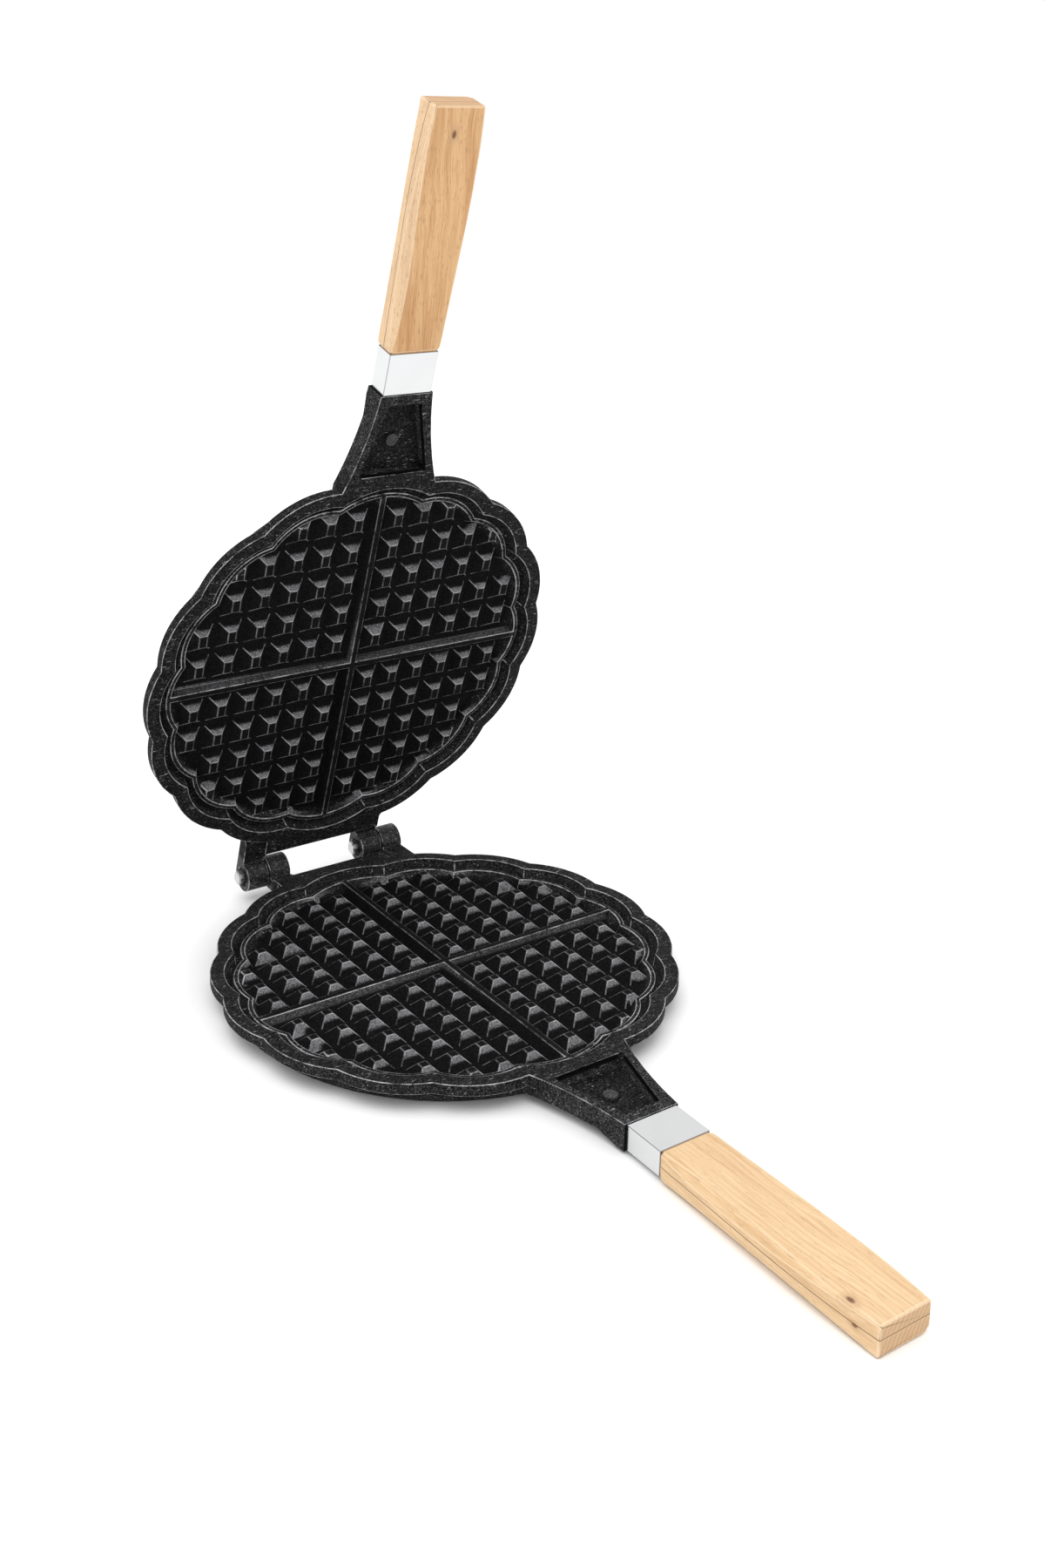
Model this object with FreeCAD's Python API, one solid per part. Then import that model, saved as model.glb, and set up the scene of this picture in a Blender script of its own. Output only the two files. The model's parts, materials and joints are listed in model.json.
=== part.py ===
import FreeCAD, Part
import math
import os

from FreeCAD import Vector

# Lengths are millimetres. Shapes are drawn in the casting frame: the origin is the
# centre of a plate in the parting plane, the plate lies below it, the handle points
# to -Y and the hinge lies to +Y. The upper casting is the lower one turned over.

# Lobed rim of a plate
plate_radius = 96.0
rim_lobe_rise = 2.5
rim_top_width = 5.8
rim_depth = 4.7
lobe_count = 16
wide_lobe_angle = 27.2
parting_gap = 0.5

# Groove and raised ring inside the rim
groove_width = 3.6
ring_lobe_rise = 3.4
ring_top_width = 1.9
ring_drop = 3.05
groove_depth = 2.65
groove_draft = 0.7
ring_inner_draft = 2.0

# Waffle pattern inside the ring
waffle_depth = 3.65
rib_top_width = 2.7
rib_draft = 1.05
stud_height = 3.5
stud_draft = 3.35
stud_width = 10.25
stud_pitch = 12.75
stud_first_edge = 4.4
upper_stud_length = 12.3
upper_stud_pitch = 15.2
upper_stud_first_edge = 5.15
smallest_stud_bite = 2.5

# Round back and foot of a plate
foot_depth = 12.0
back_inset = 1.6
back_slope = 2.4
back_round = 5.5
join_overlap = 1.0

# Neck with its pocket
neck_reach = 37.3
neck_depth = 8.6
neck_flank_sag = 1.5
neck_lip = 0.6
neck_flare_length = 8.5
neck_collar_length = 3.6
neck_end_wall = 4.7
pocket_root_gap = 1.0
pocket_root_wall = 6.0
pocket_depth = 6.3
pocket_corner = 1.2
boss_diameter = 5.5
boss_height = 1.6
boss_from_root = 13.5
stub_length = 10.0

# Hinge
hinge_standoff = 12.0
knuckle_diameter = 13.6
knuckle_inner_x = 19.0
knuckle_length = 10.1
knuckle_gap = 0.7
knuckle_relief = 0.8
arm_top_drop = 1.2
web_clearance = 2.9
web_fillet = 4.5
arm_root_rise = 3.0
arm_root_angle = 6.5
arm_root_fillet = 8.0
arm_root_base = 12.0
pin_diameter = 6.3
pin_proud = 2.8
pin_recess = 0.5
pin_edge = 0.6
pin_press_gap = 0.01
pin_running_gap = 0.06
counterbore_diameter = 9.0
counterbore_depth = 1.0
opening_angle = 71.0

# Ferrule
ferrule_length = 17.8
ferrule_width = 22.7
ferrule_height = 10.4
ferrule_wall = 0.5
ferrule_corner = 0.9
handle_axis_depth = 5.5

# Wooden handle, cut lengthwise into two glued halves. It swells out of the ferrule, and its
# outer half is the thicker one, since the inner faces almost meet when the iron is shut.
handle_end_y = 249.0
handle_front_width = 23.6
handle_middle_width = 25.4
handle_tail_width = 24.3
handle_end_width = 21.8
handle_inner_rise = 5.0
handle_front_outer_rise = 5.8
handle_outer_rise = 6.2
handle_fit = 0.1
handle_seam = 0.1
stub_fit = 0.05
handle_front_gap = 0.2
shoulder_gap = 0.4
shoulder_length = 2.6
shoulder_steps = 3
handle_end_bevel = 0.5

# Facets along the planed side of the handle, and the narrower ones along its plain side
facet_front = 1.1
facet_middle = 2.9
facet_tail_top = 0.95
facet_tail_low = 1.9
facet_end = 0.35
middle_share = 0.45
tail_share = 0.84
plain_facet_top = 0.9
plain_facet_low = 1.8

# Steel tang between the halves and the dowels through it
tang_width = 8.0
tang_thickness = 3.0
tang_embed = 8.0
tang_reach = 72.0
tang_fit = 0.03
dowel_diameter = 3.0
dowel_length = 7.0
dowel_first = 16.0
dowel_spacing = 34.0
dowel_fit = 0.02

# Overrun of every cutting solid past the face that it opens
overrun = 2.0

# Radii and levels that follow from the sizes above
rim_outer = (plate_radius - rim_lobe_rise, plate_radius)
rim_inner = (plate_radius - rim_top_width - ring_lobe_rise, plate_radius - rim_top_width)
ring_outer = (rim_inner[0] - groove_width, rim_inner[1] - groove_width)
ring_inner = (ring_outer[0] - ring_top_width, ring_outer[1] - ring_top_width)
rim_top = -parting_gap / 2
ring_top = -ring_drop
groove_floor = ring_top - groove_depth
waffle_floor = ring_top - waffle_depth

hinge_y = plate_radius + hinge_standoff
knuckle_radius = knuckle_diameter / 2
web_edge_y = hinge_y - knuckle_radius - web_clearance
knuckle_split_x = knuckle_inner_x + knuckle_length
knuckle_outer_x = knuckle_split_x + knuckle_gap + knuckle_length

neck_root_x = rim_outer[0] * math.sin(math.radians(wide_lobe_angle / 2))
neck_root_y = rim_outer[0] * math.cos(math.radians(wide_lobe_angle / 2))
neck_end_y = plate_radius + neck_reach
neck_end_x = ferrule_width / 2 + neck_lip
neck_end_depth = handle_axis_depth + ferrule_height / 2 + parting_gap / 2

sleeve_width = ferrule_width - 2 * ferrule_wall
sleeve_height = ferrule_height - 2 * ferrule_wall
handle_start_y = neck_end_y + stub_length + handle_front_gap
tang_start_y = neck_end_y + stub_length - tang_embed
tang_end_y = tang_start_y + tang_reach


def moved(shape, x, y, z):
    """Copy of a shape, shifted."""
    copy = shape.copy()
    copy.translate(Vector(x, y, z))
    return copy


def grown(pair, step):
    """Cusp and peak radius of a lobed outline, both larger by one step."""
    return (pair[0] + step, pair[1] + step)


def cusp_angles():
    """Angles of the sixteen cusps from +Y, with a wide lobe at each end of the Y axis."""
    per_side = lobe_count // 2
    narrow = (180.0 - wide_lobe_angle) / (per_side - 1)
    one_side = [wide_lobe_angle / 2 + narrow * index for index in range(per_side)]
    return one_side + [180.0 + angle for angle in one_side]


def polar(radius, angle, height):
    """Point at an angle from +Y towards +X."""
    turn = math.radians(angle)
    return Vector(radius * math.sin(turn), radius * math.cos(turn), height)


def lobed_wire(pair, height):
    """Closed outline of lobes: arcs that rise from one cusp to a peak and fall to the next."""
    angles = cusp_angles()
    edges = []
    for index, first in enumerate(angles):
        last = angles[(index + 1) % len(angles)]
        span = (last - first) % 360.0
        start = polar(pair[0], first, height)
        crest = polar(pair[1], first + span / 2, height)
        end = polar(pair[0], first + span, height)
        edges.append(Part.Arc(start, crest, end).toShape())
    return Part.Wire(edges)


def lobed_solid(low_pair, low, high_pair, high):
    """Lobed block whose walls lean from the lower outline to the upper one."""
    return Part.makeLoft([lobed_wire(low_pair, low), lobed_wire(high_pair, high)], True, True)


def outline(points, radii):
    """Closed wire through points in one plane, each corner rounded by a tangent arc."""
    corners = []
    for index, point in enumerate(points):
        before = points[index - 1]
        after = points[(index + 1) % len(points)]
        radius = radii[index]
        if radius == 0:
            corners.append((point, point, point))
            continue
        back = (before - point).normalize()
        ahead = (after - point).normalize()
        half = back.getAngle(ahead) / 2
        reach = radius / math.tan(half)
        bisector = (back + ahead).normalize()
        middle = point + bisector * (radius / math.sin(half) - radius)
        corners.append((point + back * reach, middle, point + ahead * reach))
    edges = []
    for index, corner in enumerate(corners):
        following = corners[(index + 1) % len(corners)]
        if corner[0] != corner[2]:
            edges.append(Part.Arc(corner[0], corner[1], corner[2]).toShape())
        edges.append(Part.LineSegment(corner[2], following[0]).toShape())
    return Part.Wire(edges)


def plan_prism(points, radii, low, high):
    """Block with a plan outline of (x, y) points, from one height to another."""
    wire = outline([Vector(x, y, low) for x, y in points], radii)
    return Part.Face(wire).extrude(Vector(0, 0, high - low))


def box(x_low, x_high, y_low, y_high, z_low, z_high):
    """Box between two values on each axis."""
    corner = Vector(x_low, y_low, z_low)
    return Part.makeBox(x_high - x_low, y_high - y_low, z_high - z_low, corner)


def frustum(width, length, draft_x, draft_y, height):
    """Truncated pyramid on z = 0, centred on the Z axis."""
    half_x = width / 2
    half_y = length / 2
    top_x = half_x - draft_x
    top_y = half_y - draft_y
    shape = Part.makeWedge(-half_x, 0, -half_y, -top_y, -top_x, half_x, height, half_y, top_y, top_x)
    shape.rotate(Vector(0, 0, 0), Vector(1, 0, 0), 90)
    return shape


def x_cylinder(radius, x_low, x_high):
    """Cylinder round the hinge axis, from one x to another."""
    start = Vector(x_low, hinge_y, 0)
    return Part.makeCylinder(radius, x_high - x_low, start, Vector(1, 0, 0))


def plate_back():
    """Round back of a plate, sloping in to a flat foot with a rounded edge."""
    top = -rim_depth + join_overlap
    side = rim_outer[0] - back_inset
    points = [Vector(0, 0, top), Vector(side, 0, top)]
    points += [Vector(side - back_slope, 0, -foot_depth), Vector(0, 0, -foot_depth)]
    face = Part.Face(outline(points, [0, 0, back_round, 0]))
    return face.revolve(Vector(0, 0, 0), Vector(0, 0, 1), 360)


def neck():
    """Flared neck between the rim and the ferrule, deeper at the ferrule end."""
    inner_y = rim_inner[0]
    mid_x = (neck_root_x + neck_end_x) / 2 - neck_flank_sag
    mid_y = (neck_root_y + neck_end_y) / 2
    low = -foot_depth
    corners = [Vector(side * x, -y, low) for side, x, y in (
        (-1, neck_root_x, inner_y), (1, neck_root_x, inner_y), (1, neck_root_x, neck_root_y),
        (1, neck_end_x, neck_end_y), (-1, neck_end_x, neck_end_y), (-1, neck_root_x, neck_root_y))]
    edges = [
        Part.LineSegment(corners[0], corners[1]).toShape(),
        Part.LineSegment(corners[1], corners[2]).toShape(),
        Part.Arc(corners[2], Vector(mid_x, -mid_y, low), corners[3]).toShape(),
        Part.LineSegment(corners[3], corners[4]).toShape(),
        Part.Arc(corners[4], Vector(-mid_x, -mid_y, low), corners[5]).toShape(),
        Part.LineSegment(corners[5], corners[0]).toShape(),
    ]
    plan = Part.Face(Part.Wire(edges)).extrude(Vector(0, 0, foot_depth + rim_top))
    collar_y = neck_end_y - neck_collar_length
    flare_y = collar_y - neck_flare_length
    profile = [(inner_y, rim_top), (neck_end_y, rim_top), (neck_end_y, -neck_end_depth),
               (collar_y, -neck_end_depth), (flare_y, -neck_depth), (inner_y, -neck_depth)]
    points = [Vector(-neck_root_x - overrun, -y, z) for y, z in profile]
    radii = [0, 0, 0, 0, neck_flare_length, 0]
    side = Part.Face(outline(points, radii))
    return plan.common(side.extrude(Vector(2 * neck_root_x + 2 * overrun, 0, 0)))


def neck_pocket():
    """Tapering pocket in the neck, with its small round boss left standing."""
    root_y = -(plate_radius + pocket_root_gap)
    end_y = -(neck_end_y - neck_end_wall)
    root_x = neck_root_x - pocket_root_wall
    end_x = neck_end_x - neck_end_wall + neck_lip / 2
    floor = rim_top - pocket_depth
    points = [(-root_x, root_y), (-end_x, end_y), (end_x, end_y), (root_x, root_y)]
    hollow = plan_prism(points, [pocket_corner] * 4, floor, rim_top + overrun)
    boss_y = root_y - boss_from_root
    boss = Part.makeCylinder(boss_diameter / 2, boss_height, Vector(0, boss_y, floor))
    return hollow.cut(boss)


def stub():
    """Block at the end of the neck that carries the ferrule."""
    half = sleeve_width / 2 - stub_fit
    rise = sleeve_height / 2 - stub_fit
    y_far = -(neck_end_y + stub_length)
    y_near = -(neck_end_y - join_overlap)
    return box(-half, half, y_far, y_near, -handle_axis_depth - rise, -handle_axis_depth + rise)


def tang_bar(fit):
    """Flat steel bar, or with a fit the slot that holds it."""
    half = tang_width / 2 + fit
    rise = tang_thickness / 2 + fit
    return box(-half, half, -tang_end_y - fit, -tang_start_y + fit,
               -handle_axis_depth - rise, -handle_axis_depth + rise)


def dowels(fit):
    """Two dowels across the tang, or with a fit their holes."""
    low = -handle_axis_depth - dowel_length / 2 - fit
    pins = []
    for index in range(2):
        y = -(handle_start_y + dowel_first + index * dowel_spacing)
        pins.append(Part.makeCylinder(dowel_diameter / 2 + fit, dowel_length + 2 * fit, Vector(0, y, low)))
    return Part.makeCompound(pins)


def arm_spans():
    """X ranges of the two knuckles of one casting: the inner one at -X, the outer one at +X."""
    return [(-knuckle_split_x, -knuckle_inner_x), (knuckle_split_x + knuckle_gap, knuckle_outer_x)]


def arm_root(x):
    """Point on the rim where the outer side of an arm runs out, and the y of its corner."""
    lean = math.asin(x / rim_outer[0])
    turn = lean + math.radians(arm_root_angle)
    run_out = (rim_outer[0] * math.sin(turn), rim_outer[0] * math.cos(turn))
    return run_out, rim_outer[0] * math.cos(lean) + arm_root_rise


def hinge_bracket():
    """Web along the rim, two arms with rounded roots, and a knuckle at the end of each."""
    (left_low, left_high), (right_low, right_high) = arm_spans()
    base_y = rim_inner[0] - arm_root_base
    left_root, left_corner = arm_root(-left_low)
    right_root, right_corner = arm_root(right_high)
    points = [(-left_root[0], base_y), (-left_root[0], left_root[1]), (left_low, left_corner),
              (left_low, hinge_y), (left_high, hinge_y), (left_high, web_edge_y),
              (right_low, web_edge_y), (right_low, hinge_y), (right_high, hinge_y), (right_high, right_corner), right_root, (right_root[0], base_y)]
    radii = [0, 0, arm_root_fillet, 0, 0, web_fillet, web_fillet, 0, 0, arm_root_fillet, 0, 0]
    arms = plan_prism(points, radii, -knuckle_radius, -arm_top_drop)
    web_points = [(left_low, base_y), (left_low, web_edge_y), (right_low, web_edge_y), (right_low, base_y)]
    web = plan_prism(web_points, [0] * 4, -rim_depth, rim_top)
    bracket = arms.fuse(web)
    for low, high in arm_spans():
        bracket = bracket.fuse(x_cylinder(knuckle_radius, low, high))
    return bracket


def mate_relief():
    """Room for the knuckles of the other casting, which is this one turned over."""
    tools = []
    for low, high in arm_spans():
        radius = knuckle_radius + knuckle_relief
        tools.append(x_cylinder(radius, -high - knuckle_gap, -low + knuckle_gap))
    return Part.makeCompound(tools)


def ribs():
    """Cross of two tapering ribs that divides the waffle into four."""
    length = 2 * plate_radius
    base = rib_top_width + 2 * rib_draft
    along_x = frustum(length, base, 0, rib_draft, waffle_depth)
    along_y = frustum(base, length, rib_draft, 0, waffle_depth)
    return along_x.fuse(along_y)


def stud_centres(first_edge, size, pitch):
    """Distances of the stud centres from the middle rib, on both sides of it."""
    count = int((ring_inner[1] - first_edge) // pitch)
    one_side = [first_edge + size / 2 + index * pitch for index in range(count)]
    return [-place for place in one_side] + one_side


def studs(length, pitch_y, first_edge_y):
    """Grid of truncated pyramids that reach inside the ring."""
    stud = frustum(stud_width, length, stud_draft, stud_draft, stud_height)
    reach = ring_inner[0] - ring_inner_draft - smallest_stud_bite
    shapes = []
    for x in stud_centres(stud_first_edge, stud_width, stud_pitch):
        for y in stud_centres(first_edge_y, length, pitch_y):
            near_corner = math.hypot(abs(x) - stud_width / 2, abs(y) - length / 2)
            if near_corner < reach:
                shapes.append(moved(stud, x, y, 0))
    return shapes


def waffle_relief(stud_shapes):
    """Hollow of the waffle inside the ring, with the ribs and studs left standing."""
    hollow = lobed_solid(grown(ring_inner, -ring_inner_draft), 0, ring_inner, waffle_depth)
    pattern = Part.makeCompound([ribs()] + stud_shapes)
    relief = hollow.cut(pattern)
    return moved(relief, 0, 0, waffle_floor)


def plate(stud_shapes, bore_radius, counterbored):
    """One casting: lobed plate with its waffle side up, neck, stub and hinge arms."""
    band = Part.Face(lobed_wire(rim_outer, -rim_depth)).extrude(Vector(0, 0, rim_depth + rim_top))
    body = band.fuse(plate_back()).fuse(neck()).fuse(stub()).fuse(hinge_bracket())
    recess = lobed_solid(grown(rim_inner, -groove_draft), groove_floor, rim_inner, rim_top)
    body = body.cut(recess)
    body = body.fuse(lobed_solid(grown(ring_outer, groove_draft), groove_floor, ring_outer, ring_top))
    body = body.cut(waffle_relief(stud_shapes))
    body = body.cut(neck_pocket()).cut(mate_relief()).cut(tang_bar(tang_fit))
    for low, high in arm_spans():
        body = body.cut(x_cylinder(bore_radius, low - overrun, high + overrun))
        if counterbored:
            sink = x_cylinder(counterbore_diameter / 2, high - counterbore_depth, high + overrun)
            body = body.cut(sink)
    return body.removeSplitter()


def ferrule():
    """Thin metal sleeve over the stub and the front of the handle."""
    y_near = -neck_end_y
    y_far = y_near - ferrule_length
    centre = -handle_axis_depth

    def sleeve(width, height, corner, extra):
        half = width / 2
        rise = height / 2
        spots = [(-half, centre - rise), (half, centre - rise), (half, centre + rise), (-half, centre + rise)]
        wire = outline([Vector(x, y_far - extra, z) for x, z in spots], [corner] * 4)
        return Part.Face(wire).extrude(Vector(0, ferrule_length + 2 * extra, 0))

    outside = sleeve(ferrule_width, ferrule_height, ferrule_corner, 0)
    inside = sleeve(sleeve_width, sleeve_height, ferrule_corner - ferrule_wall, overrun)
    return outside.cut(inside)


def handle_section(y, size, planed, side):
    """Cross-section of the handle: a rectangle with its long corners cut off, more on the planed side."""
    width, inner, outer = size
    top, low = planed
    edge = side * width / 2
    spots = [(edge - side * top, inner), (edge, inner - top),
             (edge, low - outer), (edge - side * low, -outer),
             (side * plain_facet_low - edge, -outer), (-edge, plain_facet_low - outer),
             (-edge, inner - plain_facet_top), (side * plain_facet_top - edge, inner)]
    points = [Vector(x, -y, z - handle_axis_depth) for x, z in spots]
    return Part.makePolygon(points + points[:1])


def handle_blank(side):
    """Whole handle: tenon, rounded shoulder, and a body whose facets grow and run out before the tip."""
    tenon_end = neck_end_y + ferrule_length + shoulder_gap
    body_start = tenon_end + shoulder_length
    body_end = handle_end_y - handle_end_bevel
    tenon_rise = sleeve_height / 2 - handle_fit
    tenon = (sleeve_width - 2 * handle_fit, tenon_rise, tenon_rise)
    front = (handle_front_width, handle_inner_rise, handle_front_outer_rise)
    last = (handle_end_width, handle_inner_rise, handle_outer_rise)
    tip = (last[0] - 2 * handle_end_bevel, last[1] - handle_end_bevel, last[2] - handle_end_bevel)
    edged = (facet_front, facet_front)
    wires = [handle_section(y, tenon, edged, side) for y in (handle_start_y, tenon_end)]
    for step in range(1, shoulder_steps + 1):
        turn = math.radians(90.0 * step / shoulder_steps)
        size = [low + (high - low) * math.sin(turn) for low, high in zip(tenon, front)]
        wires.append(handle_section(body_start - shoulder_length * math.cos(turn), size, edged, side))
    blank = Part.makeLoft(wires, True, True)
    stations = [(0, front, edged),
                (middle_share, (handle_middle_width, handle_inner_rise, handle_outer_rise),
                 (facet_middle, facet_middle)),
                (tail_share, (handle_tail_width, handle_inner_rise, handle_outer_rise),
                 (facet_tail_top, facet_tail_low)),
                (1, last, (facet_end, facet_end))]
    run = body_end - body_start
    body = [handle_section(body_start + run * share, size, planed, side) for share, size, planed in stations]
    blank = blank.fuse(Part.makeLoft(body, True, False))
    ends = [(body_end, last), (handle_end_y, tip)]
    bevel = [handle_section(y, size, (facet_end, facet_end), side) for y, size in ends]
    return blank.fuse(Part.makeLoft(bevel, True, True))


def handle_half(inner, side):
    """One glued half of the handle, with its share of the tang slot and dowel holes."""
    half = handle_middle_width
    seam = handle_seam / 2
    if inner:
        z_low = -handle_axis_depth + seam
        z_high = z_low + 2 * handle_inner_rise
    else:
        z_high = -handle_axis_depth - seam
        z_low = z_high - 2 * handle_outer_rise
    keep = box(-half, half, -handle_end_y - overrun, -handle_start_y + overrun, z_low, z_high)
    return handle_blank(side).common(keep).cut(tang_bar(tang_fit)).cut(dowels(dowel_fit))


def tang():
    """Steel bar with the two dowel holes."""
    return tang_bar(0).cut(dowels(dowel_fit))


def hinge_pin(x_low):
    """Plain pin with softened ends: proud of the running knuckle, sunk in the tight one."""
    span = 2 * knuckle_length + knuckle_gap
    pin = x_cylinder(pin_diameter / 2, x_low - pin_proud, x_low + span - pin_recess)
    rings = [edge for edge in pin.Edges if edge.Curve.TypeId == "Part::GeomCircle"]
    return pin.makeChamfer(pin_edge, rings)


def to_lower(shape):
    """Set a shape from the casting frame onto the standing surface."""
    return moved(shape, 0, 0, foot_depth)


def to_upper(shape):
    """Turn a shape over onto the lower casting and swing it open about the hinge."""
    copy = shape.copy()
    copy.rotate(Vector(0, 0, 0), Vector(0, 1, 0), 180)
    copy.rotate(Vector(0, hinge_y, 0), Vector(-1, 0, 0), opening_angle)
    copy.translate(Vector(0, 0, foot_depth))
    return copy


def all_nodes():
    """Every node of the waffle iron, by name."""
    lower_studs = studs(stud_width, stud_pitch, stud_first_edge)
    upper_studs = studs(upper_stud_length, upper_stud_pitch, upper_stud_first_edge)
    tight_bore = pin_diameter / 2 + pin_press_gap
    running_bore = pin_diameter / 2 + pin_running_gap
    nodes = {
        "lower_plate": to_lower(plate(lower_studs, tight_bore, False)),
        "upper_plate": to_upper(plate(upper_studs, running_bore, True)),
        "left_hinge_pin": to_lower(hinge_pin(-knuckle_outer_x)),
        "right_hinge_pin": to_lower(hinge_pin(knuckle_inner_x)),
    }
    for name, place, planed_side in (("lower", to_lower, -1), ("upper", to_upper, 1)):
        nodes[name + "_ferrule"] = place(ferrule())
        nodes[name + "_handle_inner_half"] = place(handle_half(True, planed_side))
        nodes[name + "_handle_outer_half"] = place(handle_half(False, planed_side))
        nodes[name + "_tang"] = place(tang())
        nodes[name + "_tang_dowels"] = place(dowels(0))
    return nodes


def main():
    os.makedirs("parts", exist_ok=True)
    for name, shape in all_nodes().items():
        print(name, "valid", shape.isValid(), "solids", len(shape.Solids), "volume", round(shape.Volume, 1))
        shape.exportStep(os.path.join("parts", name + ".step"))


main()
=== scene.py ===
"""Finishes, floor, light and camera of a stovetop waffle iron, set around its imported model."""
import functools
import json
import math

import bmesh
import bpy
from bpy.props import FloatProperty, FloatVectorProperty, PointerProperty
from mathutils import Matrix, Vector


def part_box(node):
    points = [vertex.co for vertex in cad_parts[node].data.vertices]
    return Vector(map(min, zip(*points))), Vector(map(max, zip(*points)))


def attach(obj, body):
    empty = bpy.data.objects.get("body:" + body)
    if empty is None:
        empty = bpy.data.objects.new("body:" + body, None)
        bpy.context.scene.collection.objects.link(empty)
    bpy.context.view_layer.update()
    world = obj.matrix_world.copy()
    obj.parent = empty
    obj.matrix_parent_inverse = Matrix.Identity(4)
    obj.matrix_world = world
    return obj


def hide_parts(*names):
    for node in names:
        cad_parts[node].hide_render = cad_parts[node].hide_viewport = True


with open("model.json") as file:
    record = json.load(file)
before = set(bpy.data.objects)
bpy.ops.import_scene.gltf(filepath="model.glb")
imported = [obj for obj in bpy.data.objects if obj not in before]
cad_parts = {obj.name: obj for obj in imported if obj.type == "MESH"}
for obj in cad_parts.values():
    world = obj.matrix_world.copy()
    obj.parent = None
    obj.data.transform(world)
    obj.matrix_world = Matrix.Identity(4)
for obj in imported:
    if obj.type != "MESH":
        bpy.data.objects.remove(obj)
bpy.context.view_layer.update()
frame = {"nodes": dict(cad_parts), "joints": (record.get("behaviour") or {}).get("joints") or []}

bl_info = {
    "name": "Waffle iron finishes",
    "version": (1, 0, 0),
    "blender": (4, 5, 0),
    "location": "3D View > Sidebar > Waffle iron",
    "description": "Finishes, floor, light and camera of a stovetop waffle iron",
    "category": "Object",
}

MM = 0.001
PER_MM = 1000.0
HINGE = frame["joints"][0]
PHOTO_WIDTH = 1200
PHOTO_HEIGHT = 1800
# Attribute marking the rounded edge strips: rubbed edges on the castings, lighter edges on the wood, painted
# shade on the ferrules
EDGE_STRIP_NAME = "rounded_edge_strip"
BODIES = {"lower": "lower_half", "upper": "upper_half"}

# Meshes and stage

WELD_DISTANCE = 0.001 * MM
FLAT_ANGLE = math.radians(0.6)
SMALLEST_EDGE = 0.15 * MM
FACE_WEIGHT = 60
FLOOR_REACH = 12
FLOOR_DROP = 0.05 * MM
KEY_DIRECTION = (0.22, 0.12, -0.97)

# Places in the castings' shared frame, in millimetres; a pair is where a mask starts and ends

WAFFLE_EDGE = (80, 84)
WAFFLE_DEPTH = (-8.5, -7.5)
STUD_SLOPE = (3.3, 6.6)
STUD_FOOT = -6.35
STUD_FOOT_WIDTH = (0.1, 0.3)
RIB_SIDE = (2.2, 2.8)
NECK_START = (92, 104)
KNUCKLE_START = (98, 101)
POCKET_START = (86, 90)
POCKET_END = (138, 142)
POCKET_SLANT = (0.5, 3)
POCKET_MIDDLE = (5, 6)
POCKET_SIDE = (13, 15)
POCKET_FLOOR = -6.55
POCKET_FLOOR_WIDTH = (0.15, 0.5)
BOSS_START = (92, 96)
BOSS_SIDE = (4, 5)
BOSS_TOP = -4.95
BOSS_TOP_WIDTH = (0.1, 0.4)
HANDLE_SEAM = -5.5
HANDLE_SEAM_WIDTH = (0.08, 0.34)
# Where the painted shadow beside the ferrule starts
FERRULE_SHADOW_START = (-1.0, 0.1)
# Radius where the painted shade round a pin's end begins
PIN_RIM = (2.3, 3.0)

# Turns of a face, as the part of its normal along an axis

SLOPING = (0.3, 0.6)
CROSSWISE = (0.4, 0.7)
RAISED = (0.22, 0.44)
SQUARE_ON = (0.75, 0.95)

# Parts of a noise or a knot that show

SPECKLES_SHOW = (0.44, 0.62)
# GLINTS_SHOW: part of a noise painted as bright glints
GLINTS_SHOW = (0.6, 0.68)
# Broken painted highlight along the stud feet
FOOT_HIGHLIGHT_SHOWS = (0.3, 0.5)
SCRATCHES_SHOW = (0.63, 0.69)
SCUFFED_PATCHES = (0.42, 0.56)
RUBBED_PARTS = (0.52, 0.74)
PORES_SHOW = (0.62, 0.7)
KNOT_HALO = (0.05, 0.7)
KNOT_MIDDLE = (0.72, 0.97)
SMEARS_SHOW = (0.3, 0.8)
NICKS_SHOW = (0.55, 0.66)

# Shares of the lighter colours on the castings, many of them painted light and shade

GREY_LEAST = 0.05
# LIT_TOP to LIT_EVEN and RIB_LOSS: painted light on the stud slopes that face the handle, weaker on the ribs;
# LIT_LOSS is painted shade deeper in the stud field, more of it on the upper casting
LIT_TOP = 1.2
LIT_LOSS = {"lower": 0.2, "upper": 0.35}
LIT_GRAINS = 1.6
LIT_EVEN = 0.34
RIB_LOSS = 0.75
PLAIN = 0.2
PLAIN_NECK = 0.18
PLAIN_KNUCKLE = 0.12
# Painted shade: level faces, and the whole upper casting, get less grey
LEVEL_FACE_SHADE = 0.04
PLAIN_UPPER_SHADED = 0.75
# Painted glints, with more on the knuckles as painted highlights
GLINT = 0.12
GLINT_KNUCKLE = 0.2
# Painted shade on the pocket's walls and floor
POCKET_WALL_SHADE = 0.95
POCKET_FLOOR_SHADE = 0.45
# Painted light on the top of the pocket's boss
BOSS_TOP_LIGHT = 0.16
# Painted highlight along the feet of the stud slopes that face the handle
FOOT_HIGHLIGHT = 0.8
SCUFF = 0.5
# Painted shade: rubbed edge lines on stud slopes turned from the handle are painted weaker
SHADED_EDGE_LOSS = 0.7
NECK_EDGE_LOSS = 0.45

# Growth of the wood, in millimetres; a knot is its middle and its radius

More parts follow.
